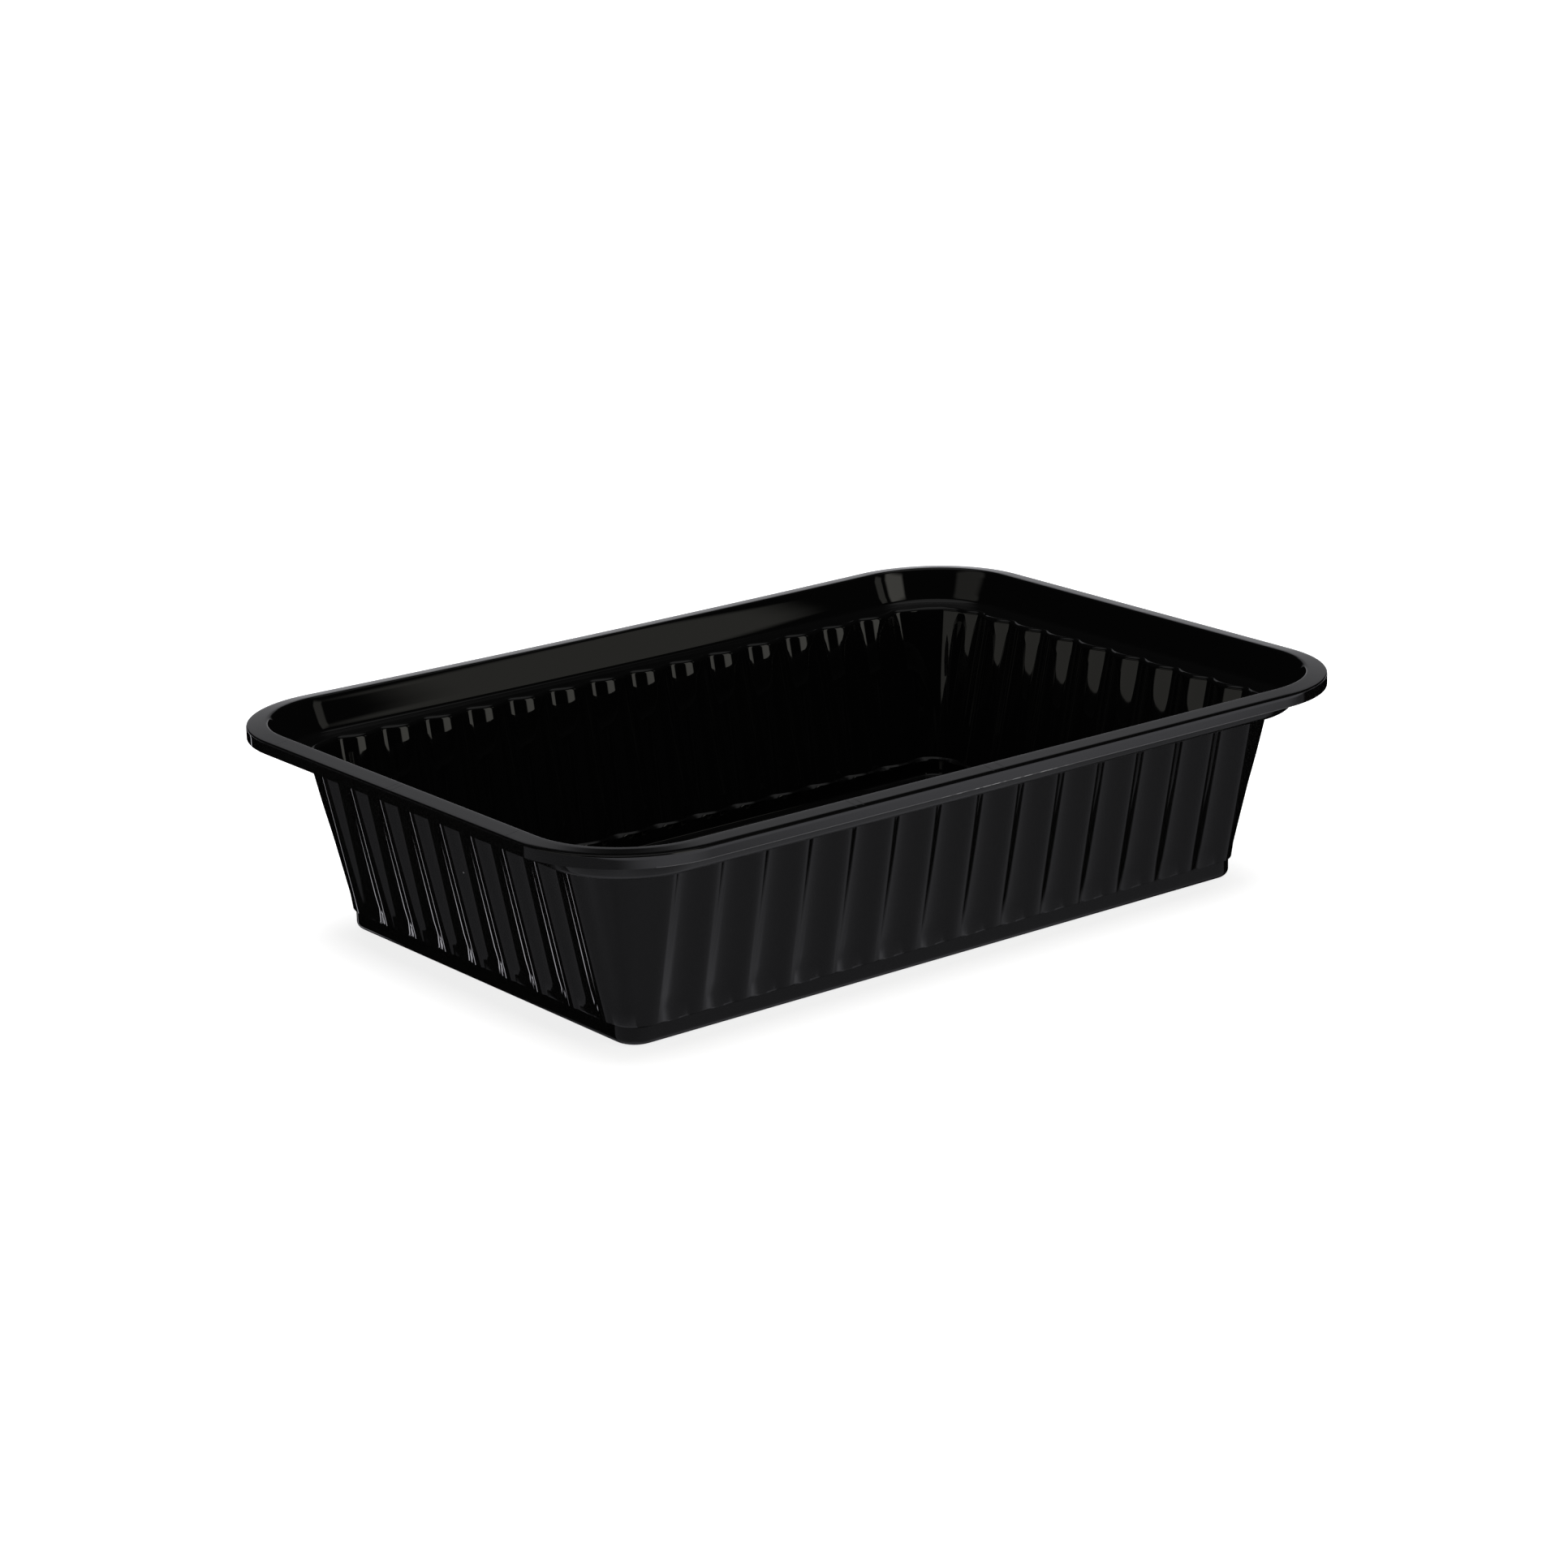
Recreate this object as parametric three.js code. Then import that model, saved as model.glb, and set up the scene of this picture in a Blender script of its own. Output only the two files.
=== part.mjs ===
// An open rectangular food tray, moulded in one piece from black polypropylene sheet.
// A flat rim runs round the mouth and turns down into a short skirt. Inside the rim a plain
// band slopes down to a ledge, and from the ledge a fluted wall runs down to a plain band
// round the base. Millimetres, +Z up, +X along the long side, origin on the table under
// the middle of the tray.
//
// A height is measured from the table. An inset is measured inward from the rim's outline,
// square to it, so every level line of the tray is parallel to the rim.
import * as THREE from 'three';

// Rim.
const RIM_LENGTH = 172;
const RIM_WIDTH = 120;
const RIM_CORNER_RADIUS = 21.8;
const RIM_TOP = 38.9; // at the inner edge of the flange
const FLANGE_WIDTH = 3.3;
const FLANGE_FALL = 0.12; // the flange falls outward, per millimetre
const FLANGE_EDGE_RADIUS = 0.35;
const MOUTH_RADIUS = 0.65; // where the flange turns down into the tray
const SKIRT_FOOT = 36.28;

// Plain upper band and ledge.
const LEDGE_TOP = 32.8;
const LEDGE_OUTER_INSET = 6.88; // where the lines of the band and the ledge cross
const BAND_DRAFT = 0.524; // inset gained per millimetre going down
const BAND_FOOT_RADIUS = 1.3;
const LEDGE_EDGE_RADIUS = 1;

// Fluted wall. Narrow ridges stand out on the outside, with broad grooves between them.
const WALL_INSET = 9.97; // outer face of the ridges, at the height of the ledge
const WALL_DRAFT = 0.226;
const WALL_FOOT = 3.95;
const FLUTES_LONG_SIDE = 14; // whole flutes from one end ridge of the side to the other
const FLUTES_SHORT_SIDE = 8;
const FLUTE_SLOPE_TOP = 0.48; // of a flute's flank, at the ledge
const FLUTE_SLOPE_FOOT = 0.37;
const RIDGE_ROUND = 1.2; // from the middle of a ridge to its flank
const GROOVE_ROUND = 2.8;
const CORNER_SHARE_TOP = 0.38; // the corners stand back by this share of a groove's depth
const CORNER_SHARE_FOOT = 0.61;
const CORNER_RIDGE_TURN = THREE.MathUtils.degToRad(51); // from the end of the long side
const CORNER_RIDGE_HEIGHT = 0.25;
const CORNER_RIDGE_FADE = [13, 25]; // gone below the first height, full above the second

// Base.
const BASE_BAND_INSET = 17.45;
const BASE_BAND_TOP = 3.4;
const BASE_RADIUS = 1.3;

// Sheet, and how the cooled rim has moved: the long sides are drawn in and sag a little.
const SHEET = 0.6;
const RIM_DRAWN_IN = 0.87;
const RIM_SAG = 0.37;

// How finely the shape is drawn.
const POINTS_PER_FLUTE = 6;
const CORNER_STEPS_FLUTED = 12;
const CORNER_STEPS_PLAIN = 10;
const LONG_STEPS_PLAIN = 12;
const SHORT_STEPS_PLAIN = 6;

const halfLong = RIM_LENGTH / 2 - RIM_CORNER_RADIUS; // half of the straight part of a side
const halfShort = RIM_WIDTH / 2 - RIM_CORNER_RADIUS;
const flutePitch = (2 * halfLong) / FLUTES_LONG_SIDE;
const shortEnd = halfShort - (flutePitch * FLUTES_SHORT_SIDE) / 2; // past the last ridge

// ---- The way round ----

// A station is a place on the way round the tray. Its core point lies on the rectangle that
// joins the centres of the four corners, and every skin of the tray stands out from it along
// the same outward direction. Eight sections follow each other anticlockwise, four sides
// and four corners, and round says how far along them the station lies.
function stations(longAlongs, shortAlongs, cornerSteps) {
  const found = [];
  for (let side = 0; side < 4; side += 1) {
    const isShort = side % 2 === 0;
    const facing = (side * Math.PI) / 2;
    const reach = isShort ? halfLong : halfShort;
    const half = isShort ? halfShort : halfLong;
    for (const along of isShort ? shortAlongs : longAlongs) {
      const core = new THREE.Vector2(reach, along).rotateAround(new THREE.Vector2(), facing);
      found.push({ core, facing, along, isShort, round: 2 * side + (along + half) / (2 * half) });
    }
    const corner = new THREE.Vector2(reach, half).rotateAround(new THREE.Vector2(), facing);
    for (let step = 1; step < cornerSteps; step += 1) {
      const part = step / cornerSteps;
      const turn = (part * Math.PI) / 2;
      const fromLongSide = isShort ? Math.PI / 2 - turn : turn;
      found.push({ core: corner, facing: facing + turn, fromLongSide, round: 2 * side + 1 + part });
    }
  }
  return found;
}

function evenly(half, steps) {
  return Array.from({ length: steps + 1 }, (_, step) => half * ((2 * step) / steps - 1));
}

const longFluted = evenly(halfLong, FLUTES_LONG_SIDE * POINTS_PER_FLUTE);
const shortFluted = [
  -halfShort,
  ...evenly(halfShort - shortEnd, FLUTES_SHORT_SIDE * POINTS_PER_FLUTE),
  halfShort,
];
const FLUTED = stations(longFluted, shortFluted, CORNER_STEPS_FLUTED);
const PLAIN = stations(
  evenly(halfLong, LONG_STEPS_PLAIN),
  evenly(halfShort, SHORT_STEPS_PLAIN),
  CORNER_STEPS_PLAIN,
);

// ---- The flutes ----

// Fall from a ridge at a distance from its middle, for a flank that slopes 1 in 1. Ridge and
// groove are parabolas, and a short straight flank joins them without a kink.
function fluteFall(distance) {
  const flank = flutePitch / 2 - RIDGE_ROUND - GROOVE_ROUND;
  if (distance <= RIDGE_ROUND) return distance ** 2 / RIDGE_ROUND / 2;
  if (distance <= RIDGE_ROUND + flank) return distance - RIDGE_ROUND / 2;
  const left = Math.max(flutePitch / 2 - distance, 0);
  return RIDGE_ROUND / 2 + flank + (GROOVE_ROUND - left ** 2 / GROOVE_ROUND) / 2;
}

// How far the fluted wall stands back from its ridges at a station.
function fluteSetBack(station, reach, height) {
  const { clamp, lerp, smoothstep } = THREE.MathUtils;
  const rise = clamp((height - WALL_FOOT) / (LEDGE_TOP - WALL_FOOT), 0, 1);
  const slope = lerp(FLUTE_SLOPE_FOOT, FLUTE_SLOPE_TOP, rise);
  if (station.along !== undefined) {
    const last = (station.isShort ? FLUTES_SHORT_SIDE : FLUTES_LONG_SIDE) / 2;
    const nearest = clamp(Math.round(station.along / flutePitch), -last, last);
    return slope * fluteFall(Math.abs(station.along - nearest * flutePitch));
  }
  const turn = station.fromLongSide;
  const cornerShare = lerp(CORNER_SHARE_FOOT, CORNER_SHARE_TOP, rise);
  const share = 1 - (1 - cornerShare) * Math.sin(2 * turn);
  const fromSides = Math.min(
    fluteFall(reach * turn),
    fluteFall(shortEnd + reach * (Math.PI / 2 - turn)),
  );
  const ridge = CORNER_RIDGE_HEIGHT * smoothstep(height, ...CORNER_RIDGE_FADE);
  const crest = share * slope * fluteFall(flutePitch / 2) - ridge;
  const fromRidge = fluteFall(reach * Math.abs(turn - CORNER_RIDGE_TURN));
  return Math.min(share * slope * fromSides, crest + slope * fromRidge);
}

// ---- Level loops ----

// Moves a point of the true tray to where the drawn-in, sagging rim has it.
function settle(point) {
  const up = (point.z / RIM_TOP) ** 2;
  const middle = 1 - ((2 * point.x) / RIM_LENGTH) ** 2;
  const past = (1.3 * (Math.abs(point.y) - halfShort)) / RIM_CORNER_RADIUS;
  const share = up * middle * THREE.MathUtils.clamp(past, 0, 1);
  point.y -= Math.sign(point.y) * RIM_DRAWN_IN * share;
  point.z -= RIM_SAG * share;
  return point;
}

function loop({ inset, height, fluted }) {
  const way = fluted ? FLUTED : PLAIN;
  const reach = RIM_CORNER_RADIUS - inset;
  const points = way.map((station) => {
    const out = fluted ? reach - fluteSetBack(station, reach, height) : reach;
    const x = station.core.x + out * Math.cos(station.facing);
    const y = station.core.y + out * Math.sin(station.facing);
    return settle(new THREE.Vector3(x, y, height));
  });
  return { points, rounds: way.map((station) => station.round) };
}

// ---- The section through the sheet ----

const LEDGE_UNDER = LEDGE_TOP - SHEET;
const STEP_LAG = SHEET / 3; // the step above the base band sits this much higher inside
const wall = (height) => WALL_INSET + (LEDGE_TOP - height) * WALL_DRAFT;
const wallInside = (height) => wall(height) + SHEET * Math.hypot(1, WALL_DRAFT);
const band = (height) => LEDGE_OUTER_INSET + (LEDGE_TOP - height) * BAND_DRAFT;
const bandOutside = (height) => band(height) - SHEET * Math.hypot(1, BAND_DRAFT);
const flange = (inset) => RIM_TOP + (inset - FLANGE_WIDTH) * FLANGE_FALL;
const flangeUnder = (inset) => flange(inset) - SHEET * Math.hypot(1, FLANGE_FALL);

const at = (inset, height) => new THREE.Vector2(inset, height);
const place = (inset, height, fluted = false) => [{ inset, height, fluted }];

// Where the straight lines a-b and c-d of the section cross.
function crossing(a, b, c, d) {
  const along = b.clone().sub(a);
  const other = d.clone().sub(c);
  return a.clone().addScaledVector(along, c.clone().sub(a).cross(other) / along.cross(other));
}

// The corner between two straight runs of the section, rounded off as an arc.
function bend(before, corner, after, radius, steps, fluted = false) {
  const toBefore = before.clone().sub(corner).normalize();
  const toAfter = after.clone().sub(corner).normalize();
  const halfAngle = Math.acos(toBefore.dot(toAfter)) / 2;
  const bisector = toBefore.clone().add(toAfter).normalize();
  const centre = corner.clone().addScaledVector(bisector, radius / Math.sin(halfAngle));
  const tangent = radius / Math.tan(halfAngle);
  const first = corner.clone().addScaledVector(toBefore, tangent).sub(centre);
  const last = corner.clone().addScaledVector(toAfter, tangent).sub(centre);
  const sweep = Math.atan2(first.cross(last), first.dot(last));
  return Array.from({ length: steps + 1 }, (_, step) => {
    const spoke = first.clone().rotateAround(at(0, 0), (sweep * step) / steps);
    return { inset: centre.x + spoke.x, height: centre.y + spoke.y, fluted };
  });
}

// The side that holds the food, from the edge of the floor up to the mouth.
function foodSide() {
  const bandInset = BASE_BAND_INSET + SHEET;
  const foot = WALL_FOOT + STEP_LAG;
  const ledgeEdge = at(wallInside(LEDGE_TOP), LEDGE_TOP);
  const ledgeBack = at(LEDGE_OUTER_INSET, LEDGE_TOP);
  const bandTop = at(band(RIM_TOP), RIM_TOP);
  const flangeEnds = [at(0, flange(0)), at(FLANGE_WIDTH, RIM_TOP)];
  const mouth = crossing(ledgeBack, bandTop, ...flangeEnds);
  return [
    ...bend(
      at(halfShort, SHEET),
      at(bandInset, SHEET),
      at(bandInset, BASE_BAND_TOP),
      BASE_RADIUS - SHEET,
      2,
    ),
    ...place(bandInset, BASE_BAND_TOP + STEP_LAG),
    ...place(wallInside(foot), foot, true),
    ...CORNER_RIDGE_FADE.flatMap((height) => place(wallInside(height), height, true)),
    ...bend(at(wallInside(foot), foot), ledgeEdge, ledgeBack, LEDGE_EDGE_RADIUS, 2, true),
    ...bend(ledgeEdge, ledgeBack, bandTop, BAND_FOOT_RADIUS, 2),
    ...bend(ledgeBack, mouth, flangeEnds[0], MOUTH_RADIUS, 2),
  ];
}

// The outer edge of the rim, from the flange down the skirt and up again behind it.
function skirt() {
  return [
    ...bend(
      at(FLANGE_WIDTH, RIM_TOP),
      at(0, flange(0)),
      at(0, SKIRT_FOOT),
      FLANGE_EDGE_RADIUS,
      2,
    ),
    ...place(0, SKIRT_FOOT),
    ...place(SHEET, SKIRT_FOOT),
    ...place(SHEET, flangeUnder(SHEET)),
  ];
}

// The outer side, from under the flange down to the edge of the base.
function outerSide() {
  const underMouth = crossing(
    at(0, flangeUnder(0)),
    at(FLANGE_WIDTH, flangeUnder(FLANGE_WIDTH)),
    at(bandOutside(RIM_TOP), RIM_TOP),
    at(bandOutside(LEDGE_TOP), LEDGE_TOP),
  );
  const ledgeBack = at(bandOutside(LEDGE_UNDER), LEDGE_UNDER);
  const ledgeEdge = at(wall(LEDGE_UNDER), LEDGE_UNDER);
  const foot = at(wall(WALL_FOOT), WALL_FOOT);
  const fades = [...CORNER_RIDGE_FADE].reverse();
  return [
    ...place(underMouth.x, underMouth.y),
    ...bend(underMouth, ledgeBack, ledgeEdge, BAND_FOOT_RADIUS + SHEET, 2),
    ...bend(ledgeBack, ledgeEdge, foot, LEDGE_EDGE_RADIUS - SHEET, 1, true),
    ...fades.flatMap((height) => place(wall(height), height, true)),
    ...place(foot.x, foot.y, true),
    ...place(BASE_BAND_INSET, BASE_BAND_TOP),
    ...bend(
      at(BASE_BAND_INSET, BASE_BAND_TOP),
      at(BASE_BAND_INSET, 0),
      at(halfShort, 0),
      BASE_RADIUS,
      3,
    ),
  ];
}

// ---- One closed skin ----

// A fan of triangles from the middle of the floor, or of the base, to its edge loop.
function fan(middle, edge, up) {
  return edge.flatMap((corner, index) => {
    const next = edge[(index + 1) % edge.length];
    return up ? [middle, corner, next] : [corner, middle, next];
  });
}

// A strip of triangles between two neighbouring loops, which may have different numbers of
// points: whichever loop is behind on its way round takes the next step.
function strip(first, second) {
  const faces = [];
  const around = (way, index) => way.rounds[index] ?? Infinity;
  const corner = (way, index) => way.corners[index % way.corners.length];
  let a = 0;
  let b = 0;
  while (a < first.corners.length || b < second.corners.length) {
    const stepSecond =
      b < second.corners.length &&
      (a === first.corners.length || around(second, b + 1) <= around(first, a + 1));
    const ahead = stepSecond ? corner(second, b + 1) : corner(first, a + 1);
    faces.push(corner(first, a), corner(second, b), ahead);
    if (stepSecond) b += 1;
    else a += 1;
  }
  return faces;
}

function traySkin() {
  const positions = [];
  const add = (vertex) => {
    positions.push(vertex.x, vertex.y, vertex.z);
    return positions.length / 3 - 1;
  };
  const loops = [...foodSide(), ...skirt(), ...outerSide()].map((level) => {
    const { points, rounds } = loop(level);
    return { corners: points.map(add), rounds };
  });
  const floor = add(new THREE.Vector3(0, 0, SHEET));
  const base = add(new THREE.Vector3(0, 0, 0));
  const faces = [
    ...fan(floor, loops[0].corners, true),
    ...loops.slice(1).flatMap((second, index) => strip(loops[index], second)),
    ...fan(base, loops.at(-1).corners, false),
  ];
  const geometry = new THREE.BufferGeometry();
  geometry.setAttribute('position', new THREE.Float32BufferAttribute(positions, 3));
  geometry.setIndex(faces);
  geometry.computeVertexNormals();
  return geometry;
}

const blackPolypropylene = new THREE.MeshStandardMaterial({
  color: 0x0c0c0d,
  roughness: 0.2,
  metalness: 0,
});
const tray = new THREE.Mesh(traySkin(), blackPolypropylene);
tray.name = 'tray';

const part = new THREE.Group();
part.add(tray);

export default part;
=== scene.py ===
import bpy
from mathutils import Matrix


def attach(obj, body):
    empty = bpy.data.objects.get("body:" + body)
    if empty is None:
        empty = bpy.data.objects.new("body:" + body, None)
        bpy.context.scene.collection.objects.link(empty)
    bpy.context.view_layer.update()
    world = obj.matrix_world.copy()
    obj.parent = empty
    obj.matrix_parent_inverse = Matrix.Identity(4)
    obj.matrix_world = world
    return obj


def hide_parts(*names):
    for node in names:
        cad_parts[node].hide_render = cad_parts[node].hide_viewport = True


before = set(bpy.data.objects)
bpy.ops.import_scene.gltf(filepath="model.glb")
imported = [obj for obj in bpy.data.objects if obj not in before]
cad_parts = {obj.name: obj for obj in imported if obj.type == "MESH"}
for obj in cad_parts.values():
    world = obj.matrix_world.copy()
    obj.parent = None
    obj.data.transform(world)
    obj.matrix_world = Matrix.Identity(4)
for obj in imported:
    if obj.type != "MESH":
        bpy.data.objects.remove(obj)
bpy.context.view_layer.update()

from math import acos, atan2, cos, hypot, pi, radians, sin, tan

import bpy
from mathutils import Matrix, Vector

MM = 0.001
scene = bpy.context.scene

# ---- Camera ----
# A tripod shot from the front left, with a long lens that keeps the tray's sides nearly
# parallel. The place was found by fitting a camera to the rim, the base and the walls.
CAMERA_PLACE = Vector((-451.16, -577.05, 245.61)) * MM
CAMERA_TURN = radians(-37.866)  # from the front of the tray towards its left end
CAMERA_RISE = radians(16.989)
CAMERA_ROLL = radians(-1.333)
PHOTO_SIDE = 1932  # pixels
FOCAL_PIXELS = 5285.9

camera = bpy.data.objects.new("camera", bpy.data.cameras.new("camera"))
scene.collection.objects.link(camera)
back = Vector((
    sin(CAMERA_TURN) * cos(CAMERA_RISE),
    -cos(CAMERA_TURN) * cos(CAMERA_RISE),
    sin(CAMERA_RISE),
))
level_right = (-back).cross(Vector((0, 0, 1))).normalized()
level_up = level_right.cross(-back)
right = cos(CAMERA_ROLL) * level_right + sin(CAMERA_ROLL) * level_up
up = cos(CAMERA_ROLL) * level_up - sin(CAMERA_ROLL) * level_right
camera.matrix_world = Matrix.Translation(CAMERA_PLACE) @ Matrix((right, up, back)).transposed().to_4x4()
camera.data.sensor_width = 36
camera.data.lens = FOCAL_PIXELS / PHOTO_SIDE * camera.data.sensor_width
camera.data.clip_start = 0.05
scene.camera = camera

# ---- Tray ----
# One sheet of black polypropylene, moulded in one piece: a flat rim with a turned-down
# skirt, a plain sloping band, a ledge, and fluted walls down to a plain band at the base.
RIM_LENGTH = 172
RIM_WIDTH = 120
RIM_CORNER_RADIUS = 21.8
RIM_TOP = 38.9
FLANGE_WIDTH = 3.3
FLANGE_FALL = 0.12
FLANGE_EDGE_RADIUS = 0.35
SKIRT_FOOT = 36.28
MOUTH_RADIUS = 0.65
BAND_DRAFT = 0.524
BAND_FOOT_RADIUS = 1.3
LEDGE_TOP = 32.8
LEDGE_OUTER_INSET = 6.88
LEDGE_EDGE_RADIUS = 1.0
WALL_INSET = 9.97
WALL_DRAFT = 0.226
WALL_FOOT = 3.95
BASE_BAND_INSET = 17.45
BASE_BAND_TOP = 3.4
BASE_RADIUS = 1.3
SHEET = 0.6
STEP_LAG = SHEET / 3  # the food side's step at the base stands this much above the outside's

# The flutes: narrow ridges that stand outward, and broad grooves between them.
FLUTES_LONG_SIDE = 14
FLUTES_SHORT_SIDE = 8
FLUTE_SLOPE_TOP = 0.48
FLUTE_SLOPE_FOOT = 0.37
RIDGE_ROUND = 1.2
GROOVE_ROUND = 2.8
FLUTES_START_INSET = 7.6
FLUTES_START_RUN = 1.6
FOOD_SIDE_INSET = 17.9  # at the base, the food side lies farther in than this
CORNER_SHARE_TOP = 0.38
CORNER_SHARE_FOOT = 0.61
CORNER_RIDGE_TURN = radians(51)
CORNER_RIDGE_HEIGHT = 0.25
CORNER_RIDGE_FADE = (13, 25)

# The long sides of the rim are drawn in and sag towards their middle.
RIM_DRAWN_IN = 0.87
RIM_SAG = 0.37
RIM_PULL_RATE = 1.3

CORNER_STEPS = 20
STEPS_PER_FLUTE = 12
SMOOTH_ANGLE = radians(35)

HALF_LONG = RIM_LENGTH / 2 - RIM_CORNER_RADIUS
HALF_SHORT = RIM_WIDTH / 2 - RIM_CORNER_RADIUS
FLUTE_PITCH = 2 * HALF_LONG / FLUTES_LONG_SIDE
SHORT_END = HALF_SHORT - FLUTE_PITCH * FLUTES_SHORT_SIDE / 2


def wall_inside(height):
    return WALL_INSET + (LEDGE_TOP - height) * WALL_DRAFT + SHEET * hypot(1, WALL_DRAFT)


def band(height):
    return LEDGE_OUTER_INSET + (LEDGE_TOP - height) * BAND_DRAFT


def flange(inset):
    return RIM_TOP + (inset - FLANGE_WIDTH) * FLANGE_FALL


def at(inset, height):
    """A point of the section: how far in from the rim's outline, and how high."""
    return Vector((inset, height))


def crossing(a, b, c, d):
    """Where the line through two points meets the line through two others."""
    along, other = b - a, d - c
    return a + along * ((c - a).cross(other) / along.cross(other))


def bend(before, corner, after, radius, steps):
    """The corner between two straight runs of the section, rounded off as an arc."""
    to_before = (before - corner).normalized()
    to_after = (after - corner).normalized()
    half_angle = acos(to_before.dot(to_after)) / 2
    centre = corner + (to_before + to_after).normalized() * radius / sin(half_angle)
    first = corner + to_before * radius / tan(half_angle) - centre
    last = corner + to_after * radius / tan(half_angle) - centre
    sweep = atan2(first.cross(last), first.dot(last))
    turns = (Matrix.Rotation(sweep * step / steps, 2) for step in range(steps + 1))
    return [centre + turn @ first for turn in turns]


def run(start, end, steps):
    """Points along a straight run of the section, without its two ends."""
    return [start.lerp(end, step / steps) for step in range(1, steps)]


# The food side of the sheet, from the foot of the skirt over the rim and down to the floor.
skirt_foot = at(0, SKIRT_FOOT)
flange_edge = at(0, flange(0))
flange_inner = at(FLANGE_WIDTH, RIM_TOP)
ledge_back = at(LEDGE_OUTER_INSET, LEDGE_TOP)
mouth = crossing(flange_edge, flange_inner, ledge_back, at(band(RIM_TOP), RIM_TOP))
ledge_edge = at(wall_inside(LEDGE_TOP), LEDGE_TOP)
wall_foot = at(wall_inside(WALL_FOOT + STEP_LAG), WALL_FOOT + STEP_LAG)
band_top = at(BASE_BAND_INSET + SHEET, BASE_BAND_TOP + STEP_LAG)
floor_edge = at(BASE_BAND_INSET + SHEET, SHEET)
floor_middle = at(RIM_WIDTH / 4, SHEET)

edge_bend = bend(skirt_foot, flange_edge, flange_inner, FLANGE_EDGE_RADIUS, 5)
mouth_bend = bend(flange_edge, mouth, ledge_back, MOUTH_RADIUS, 6)
back_bend = bend(mouth, ledge_back, ledge_edge, BAND_FOOT_RADIUS, 7)
ledge_bend = bend(ledge_back, ledge_edge, wall_foot, LEDGE_EDGE_RADIUS, 7)
floor_bend = bend(band_top, floor_edge, floor_middle, BASE_RADIUS - SHEET, 6)
section = (
    [skirt_foot]
    + run(skirt_foot, edge_bend[0], 4) + edge_bend
    + run(edge_bend[-1], mouth_bend[0], 4) + mouth_bend
    + run(mouth_bend[-1], back_bend[0], 5) + back_bend
    + run(back_bend[-1], ledge_bend[0], 3) + ledge_bend
    + run(ledge_bend[-1], wall_foot, 12)
    + [wall_foot, wall_foot.lerp(band_top, 0.5), band_top]
    + run(band_top, floor_bend[0], 3) + floor_bend
    + [floor_bend[-1] + at(0.5, 0)]
)

# A plate of the rim's outline gets round corners and even points along its sides. The plate is
# then inset again and again along the section, so each level line stays parallel to the rim.
bpy.ops.object.select_all(action="DESELECT")
bpy.ops.mesh.primitive_plane_add(size=1, location=(0, 0, 0))
tray = bpy.context.object
tray.name = tray.data.name = "moulded_tray"
bpy.ops.object.mode_set(mode="EDIT")
bpy.ops.transform.resize(value=(RIM_LENGTH * MM, RIM_WIDTH * MM, 1))
bpy.ops.transform.translate(value=(0, 0, SKIRT_FOOT * MM))
bpy.ops.mesh.bevel(offset=RIM_CORNER_RADIUS * MM, segments=CORNER_STEPS, affect="VERTICES")


def divide_sides(axis, longer_than, cuts):
    """Divides the plate's edges that run along an axis and are longer than a length."""
    bpy.ops.mesh.select_mode(type="EDGE")
    bpy.ops.mesh.select_all(action="DESELECT")
    bpy.ops.object.mode_set(mode="OBJECT")
    for edge in tray.data.edges:
        start, end = (tray.data.vertices[corner].co for corner in edge.vertices)
        edge.select = abs((end - start)[axis]) > longer_than * MM
    bpy.ops.object.mode_set(mode="EDIT")
    bpy.ops.mesh.subdivide(number_cuts=cuts)


divide_sides(0, 2 * FLUTE_PITCH, FLUTES_LONG_SIDE - 1)
divide_sides(0, FLUTE_PITCH / 2, STEPS_PER_FLUTE - 1)
divide_sides(1, FLUTE_PITCH, round(2 * HALF_SHORT / FLUTE_PITCH * STEPS_PER_FLUTE) - 1)
bpy.ops.mesh.select_mode(type="FACE")
bpy.ops.mesh.select_all(action="SELECT")
bpy.ops.mesh.dissolve_faces()
for here, there in zip(section, section[1:]):
    step = (there - here) * MM
    bpy.ops.mesh.inset(thickness=max(step.x, 0), depth=step.y)
bpy.ops.object.mode_set(mode="OBJECT")

sheet = tray.modifiers.new("sheet", "SOLIDIFY")
sheet.thickness = SHEET * MM
sheet.offset = -1
sheet.use_even_offset = True
bpy.ops.object.modifier_apply(modifier=sheet.name)


def clamp(value):
    return min(max(value, 0), 1)


def smooth(value):
    return clamp(value) ** 2 * (3 - 2 * clamp(value))


def flute_fall(distance):
    """Fall from a ridge at a distance from its middle, for a flank that slopes 1 in 1."""
    flank = FLUTE_PITCH / 2 - RIDGE_ROUND - GROOVE_ROUND
    if distance <= RIDGE_ROUND:
        return distance ** 2 / RIDGE_ROUND / 2
    if distance <= RIDGE_ROUND + flank:
        return distance - RIDGE_ROUND / 2
    left = max(FLUTE_PITCH / 2 - distance, 0)
    return RIDGE_ROUND / 2 + flank + (GROOVE_ROUND - left ** 2 / GROOVE_ROUND) / 2


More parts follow.
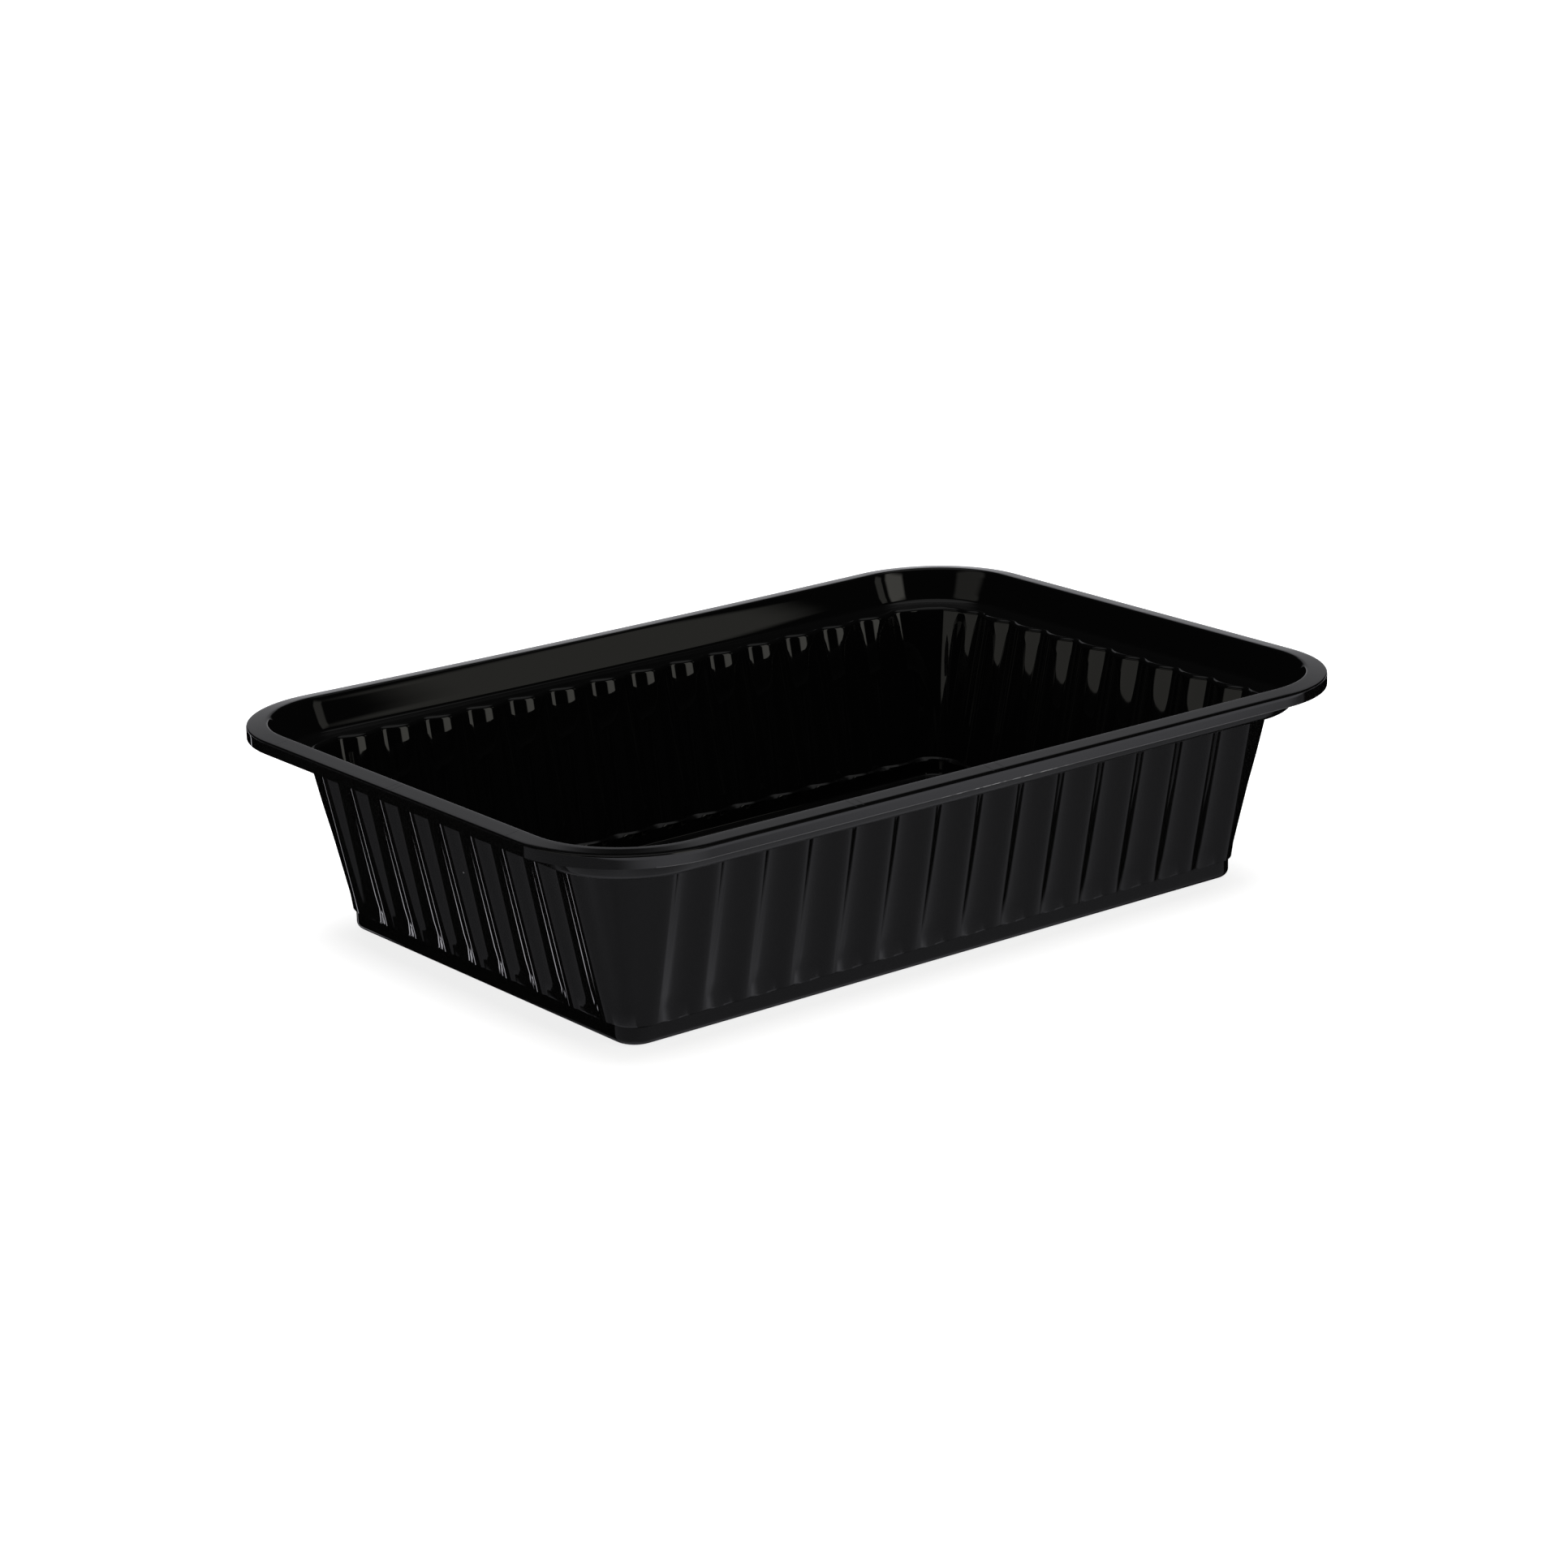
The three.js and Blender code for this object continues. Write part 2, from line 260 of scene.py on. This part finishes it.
def flute_set_back(x, y, height):
    """How far the fluted wall stands back from its ridges, and the way that it faces."""
    rise = clamp((height - WALL_FOOT) / (LEDGE_TOP - WALL_FOOT))
    slope = FLUTE_SLOPE_FOOT + (FLUTE_SLOPE_TOP - FLUTE_SLOPE_FOOT) * rise
    past_x, past_y = abs(x) - HALF_LONG, abs(y) - HALF_SHORT
    if past_x > 0 and past_y > 0:
        reach = hypot(past_x, past_y)
        turn = atan2(past_x, past_y)
        fade_low, fade_high = CORNER_RIDGE_FADE
        fade = smooth((height - fade_low) / (fade_high - fade_low))
        share = CORNER_SHARE_FOOT + (CORNER_SHARE_TOP - CORNER_SHARE_FOOT) * rise
        share = 1 - (1 - share) * sin(2 * turn)
        back = share * slope * min(
            flute_fall(reach * turn),
            flute_fall(SHORT_END + reach * (pi / 2 - turn)),
        )
        crest = share * slope * flute_fall(FLUTE_PITCH / 2) - CORNER_RIDGE_HEIGHT * fade
        back = min(back, crest + slope * flute_fall(reach * abs(turn - CORNER_RIDGE_TURN)))
        facing = Vector((past_x * (1 if x > 0 else -1), past_y * (1 if y > 0 else -1))) / reach
        return back, facing
    along, last, facing = (
        (x, FLUTES_LONG_SIDE // 2, Vector((0, 1 if y > 0 else -1)))
        if past_y > 0
        else (y, FLUTES_SHORT_SIDE // 2, Vector((1 if x > 0 else -1, 0)))
    )
    nearest = max(-last, min(last, round(along / FLUTE_PITCH)))
    return slope * flute_fall(abs(along - nearest * FLUTE_PITCH)), facing


def fluted_share(x, y, height):
    """Nothing on the rim, the base and the back of the ledge, all on the wall."""
    inset = RIM_CORNER_RADIUS - hypot(max(abs(x) - HALF_LONG, 0), max(abs(y) - HALF_SHORT, 0))
    if inset > FOOD_SIDE_INSET:
        return clamp((height - BASE_BAND_TOP - STEP_LAG) / (WALL_FOOT - BASE_BAND_TOP))
    from_base = clamp((height - BASE_BAND_TOP) / (WALL_FOOT - BASE_BAND_TOP))
    return from_base * smooth((inset - FLUTES_START_INSET) / FLUTES_START_RUN)


for vertex in tray.data.vertices:
    x, y, height = vertex.co / MM
    share = fluted_share(x, y, height)
    if share > 0 and height < LEDGE_TOP + 0.01 and (abs(x) > HALF_LONG or abs(y) > HALF_SHORT):
        back, facing = flute_set_back(x, y, height)
        x -= share * back * facing.x
        y -= share * back * facing.y
    pull = (height / RIM_TOP) ** 2 * (1 - (2 * x / RIM_LENGTH) ** 2)
    pull *= clamp(RIM_PULL_RATE * (abs(y) - HALF_SHORT) / RIM_CORNER_RADIUS)
    y -= (1 if y > 0 else -1) * RIM_DRAWN_IN * pull
    vertex.co = Vector((x, y, height - RIM_SAG * pull)) * MM
bpy.ops.object.shade_smooth_by_angle(angle=SMOOTH_ANGLE)


class Socket:
    """Wraps a shader socket, so shader maths is written as Python expressions."""

    def __init__(self, tree, socket=None):
        self.tree = tree
        self.socket = socket

    def node(self, kind, settings=None, inputs=None, out=0):
        made = self.tree.nodes.new(kind)
        for name, value in (settings or {}).items():
            setattr(made, name, value)
        for name, value in (inputs or {}).items():
            if isinstance(value, Socket):
                self.tree.links.new(value.socket, made.inputs[name])
            else:
                made.inputs[name].default_value = value
        return Socket(self.tree, made.outputs[out])

    def maths(self, operation, *values):
        return self.node("ShaderNodeMath", {"operation": operation}, dict(enumerate(values)))

    def __add__(self, other):
        return self.maths("ADD", self, other)

    def __sub__(self, other):
        return self.maths("SUBTRACT", self, other)

    def __rsub__(self, other):
        return self.maths("SUBTRACT", other, self)

    def __mul__(self, other):
        return self.maths("MULTIPLY", self, other)

    def __truediv__(self, other):
        return self.maths("DIVIDE", self, other)

    __radd__ = __add__
    __rmul__ = __mul__


def new_material(name):
    material = bpy.data.materials.new(name)
    material.use_nodes = True
    shader = material.node_tree.nodes["Principled BSDF"]
    return material, shader, Socket(material.node_tree)


def feed(shader, name, value):
    value.tree.links.new(value.socket, shader.inputs[name])


def parts(vector, axes):
    """The numbers of a vector along the axes that are named."""
    return [vector.node("ShaderNodeSeparateXYZ", inputs={"Vector": vector}, out=axis) for axis in axes]


def step_up(value, low, high):
    """0 below one value and 1 above another, with a soft step between."""
    limits = {"Value": value, "From Min": low, "From Max": high}
    return value.node("ShaderNodeMapRange", {"interpolation_type": "SMOOTHSTEP"}, limits)


def between(value, low, high, soft):
    """1 for a value between two others, with soft ends."""
    return step_up(value, low - soft, low + soft) * (1 - step_up(value, high - soft, high + soft))


# Gloss black, a little satin on the flange.
PLASTIC_IOR = 1.49
PLASTIC_TONE = 0.0025
GLOSS_ROUGHNESS = 0.015
FLANGE_ROUGHNESS = 0.06
FLANGE_LOWEST = 38.3
black_plastic, gloss, tree = new_material("black_plastic")
place = tree.node("ShaderNodeTexCoord", out="Object")
place_x, place_y, place_z = (part / MM for part in parts(place, "XYZ"))


def noise(scale, detail=2):
    return tree.node("ShaderNodeTexNoise", inputs={"Vector": place, "Scale": scale, "Detail": detail})


# Fine dust, in a few cells of a net, on some parts of the tray.
DUST_TONE = 0.12
dust_cells = tree.node("ShaderNodeTexVoronoi", inputs={"Vector": place, "Scale": 110.0})
dust = tree.maths("LESS_THAN", dust_cells, 0.015) * tree.maths("GREATER_THAN", noise(37.0), 0.6)

# The trimmed edge: a fine whitish line at the foot of the front skirt, frayed in its middle.
BURR_TONE = 0.16
BURR_HEIGHT = 0.1
BURR_FRONT = -57.8
FRAYED_PART = (-14, 11)
skirt_middle = 1 - place_x * place_x / (RIM_LENGTH / 2) ** 2
above_foot = place_z - SKIRT_FOOT + 0.32 * skirt_middle
frayed = 0.3 + between(noise(1100.0), 0.5, 2, 0.08) * between(place_x, *FRAYED_PART, 4)
burr = (
    frayed
    * tree.maths("LESS_THAN", place_y, BURR_FRONT)
    * between(above_foot, -1, BURR_HEIGHT, 0.04)
)
feed(gloss, "Base Color", dust * DUST_TONE + burr * BURR_TONE + PLASTIC_TONE)

# The tool left fine lines across the rim.
TOOL_LINES_ACROSS_ENDS = (-34.2, -0.8, 0.7, 35.1)
TOOL_LINES_ACROSS_SIDES = (-33.5, -31.9, -3.8, -1.4)
TOOL_LINE_HALF_WIDTH = 0.06
tool_lines = 0
for measure, middles in ((place_y, TOOL_LINES_ACROSS_ENDS), (place_x, TOOL_LINES_ACROSS_SIDES)):
    for middle in middles:
        low, high = middle - TOOL_LINE_HALF_WIDTH, middle + TOOL_LINE_HALF_WIDTH
        tool_lines = between(measure, low, high, 0.08) + tool_lines
tool_lines = tool_lines * between(place_z, 38.2, 40, 0.1)

satin = between(place_z, FLANGE_LOWEST, 40, 0.15)
patchy = between(noise(60.0), 0.35, 0.65, 0.15)
roughness = GLOSS_ROUGHNESS + 0.012 * patchy + FLANGE_ROUGHNESS * satin + 0.1 * tool_lines
feed(gloss, "Roughness", roughness)
relief = 0.003 * noise(45.0, 0) - 0.01 * tool_lines + 0.004 * burr
bump = tree.node("ShaderNodeBump", inputs={"Height": relief, "Strength": 1.0, "Distance": MM})
feed(gloss, "Normal", bump)
gloss.inputs["IOR"].default_value = PLASTIC_IOR
tray.data.materials.clear()
tray.data.materials.append(black_plastic)
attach(tray, "root")
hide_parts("tray")

# ---- Floor and top light ----
# A plain pale floor, lit from above by one large soft light. It glows a little, so that it
# stays white up to the tray's foot, and mirrored rays pass through it to the painted table reflection
# below.
PLANE_SIDE = 12
FLOOR_GLOW = 0.82
TOP_LIGHT_PLACE = (0.1, 0.1, 1.6)
TOP_LIGHT_SIDE = 1.6
TOP_LIGHT_POWER = 26


def wide_plane(name, height):
    bpy.ops.object.select_all(action="DESELECT")
    bpy.ops.mesh.primitive_plane_add(size=PLANE_SIDE, location=(0, 0, height * MM))
    plane = bpy.context.object
    plane.name = plane.data.name = name
    return plane


ground = wide_plane("floor", -0.2)
ground_material, ground_shader, _ = new_material("pale_floor")
ground_shader.inputs["Base Color"].default_value = (0.9, 0.9, 0.9, 1)
ground_shader.inputs["Roughness"].default_value = 0.9
ground_shader.inputs["Specular IOR Level"].default_value = 0
ground_shader.inputs["Emission Color"].default_value = (1, 1, 1, 1)
ground_shader.inputs["Emission Strength"].default_value = FLOOR_GLOW
ground.data.materials.append(ground_material)
ground.visible_glossy = False

top_light = bpy.data.objects.new("top_light", bpy.data.lights.new("top_light", "AREA"))
scene.collection.objects.link(top_light)
top_light.location = TOP_LIGHT_PLACE
top_light.data.shape = "SQUARE"
top_light.data.size = TOP_LIGHT_SIDE
top_light.data.energy = TOP_LIGHT_POWER
top_light.visible_glossy = False

# ---- Painted table reflection ----
# A glowing plane, no lamp, painted with the table's reflection for the gloss: grey in front and
# on the left, white farther out, a painted shadow of the tray under and behind it, and one painted
# white streak. Only mirrored rays meet it.
TABLE_DEPTH = 93
GREY_FRONT = 0.205
GREY_LEFT = 0.175
FAR_WHITE = 0.75
BEHIND_WHITE = 0.8
STREAK_WHITE = 1.8
FOOT_GLOW = 0.15
FOOT_HALF_LONG = 68
FOOT_HALF_SHORT = 42

table = wide_plane("painted_table_reflection", -TABLE_DEPTH)
table.visible_camera = False
table.visible_diffuse = False
table.visible_transmission = False
table.visible_volume_scatter = False
table.visible_shadow = False
painted_reflection_material, table_shader, table_tree = new_material("painted_table_reflection")
table_place = table_tree.node("ShaderNodeTexCoord", out="Object")
table_x, table_y = (part / MM for part in parts(table_place, "XY"))


def absolute(value):
    return value.maths("ABSOLUTE", value)


def larger(one, other):
    return one.maths("MAXIMUM", one, other)


past_foot = larger(absolute(table_x) - FOOT_HALF_LONG, absolute(table_y) - FOOT_HALF_SHORT)
# A faint painted glow on the plane near the tray's foot.
near_foot = 1 - step_up(past_foot, 20, 75)
left_edge = larger(-73 - 0.926 * table_x, -45)
# Grey only in front of and left of the tray: under and behind it the plane stays dark, a painted shadow
# of the tray.
grey = (1 - step_up(table_y - left_edge, -5, 5)) * (1 - step_up(table_y + 0.7 * table_x, 42, 90))
grey_level = GREY_LEFT + (GREY_FRONT - GREY_LEFT) * step_up(table_x, -190, -120)
far = step_up(-1 * table_y, 330, 520)
behind = step_up(0.6 * table_x + 0.8 * table_y, 600, 900)
streak = step_up(table_x, -97, -94) * (1 - step_up(table_x, -83, -79)) * step_up(table_y, 150, 170)
painted_reflection_level = (
    grey * grey_level
    + FAR_WHITE * far
    + BEHIND_WHITE * behind
    + STREAK_WHITE * streak
    + FOOT_GLOW * near_foot
)
painted_reflection_shades = {"Red": painted_reflection_level, "Green": painted_reflection_level, "Blue": 1.07 * painted_reflection_level}
table_shader.inputs["Base Color"].default_value = (0, 0, 0, 1)
table_shader.inputs["Specular IOR Level"].default_value = 0
table_shader.inputs["Emission Strength"].default_value = 1
feed(table_shader, "Emission Color", table_tree.node("ShaderNodeCombineColor", inputs=painted_reflection_shades))
table.data.materials.append(painted_reflection_material)

# ---- Room ----
# What the gloss shows above the table: a warm window in front, a dimmer one on the left, pale
# paper behind the tray, and a soft ceiling. Headings are in degrees from +X towards +Y.
world = bpy.data.worlds.new("room")
scene.world = world
world.use_nodes = True
background = world.node_tree.nodes["Background"]
room = Socket(world.node_tree)
ray_x, ray_y, ray_z = parts(room.node("ShaderNodeTexCoord", out="Generated"), "XYZ")
flat = room.maths("SQRT", larger(1 - ray_z * ray_z, 0.0001))


def towards(heading, half_width, soft):
    """1 for rays whose heading is near the one given."""
    near = (ray_x * cos(radians(heading)) + ray_y * sin(radians(heading))) / flat
    return step_up(near, cos(radians(half_width + soft)), cos(radians(half_width - soft)))


def rising(low, high):
    """0 below one rise and 1 above another, in degrees over the horizon."""
    return step_up(ray_z, sin(radians(low)), sin(radians(high)))


front_window = towards(-73, 12, 2.5) * rising(0, 2) * (1 - rising(36, 42))
front_glimpse = 0.4 * towards(-51, 3.4, 0.8) * rising(20, 24) * (1 - rising(31, 34))
left_low = 0.42 * rising(1, 4) * (1 - rising(18, 24))
left_high = 0.27 * rising(29, 33) * (1 - rising(40, 44))
left_window = towards(172, 20, 4) * (left_low + left_high)
paper_high = 0.29 * rising(-4, 4) * (1 - rising(28, 31))
paper_low = 0.5 * rising(-12, -3) * (1 - rising(-2, 9))
paper = towards(52, 22, 8) * (paper_high + paper_low)
ceiling = 0.3 * rising(52, 66)
warm = front_window + front_glimpse + left_window
room_level = warm + paper + ceiling + 0.002
room_shades = {
    "Red": room_level,
    "Green": room_level - 0.015 * warm,
    "Blue": room_level - 0.1 * warm + 0.04 * paper,
}
feed(background, "Color", room.node("ShaderNodeCombineColor", inputs=room_shades))
background.inputs["Strength"].default_value = 1

scene.view_settings.view_transform = "Standard"
scene.view_settings.look = "None"
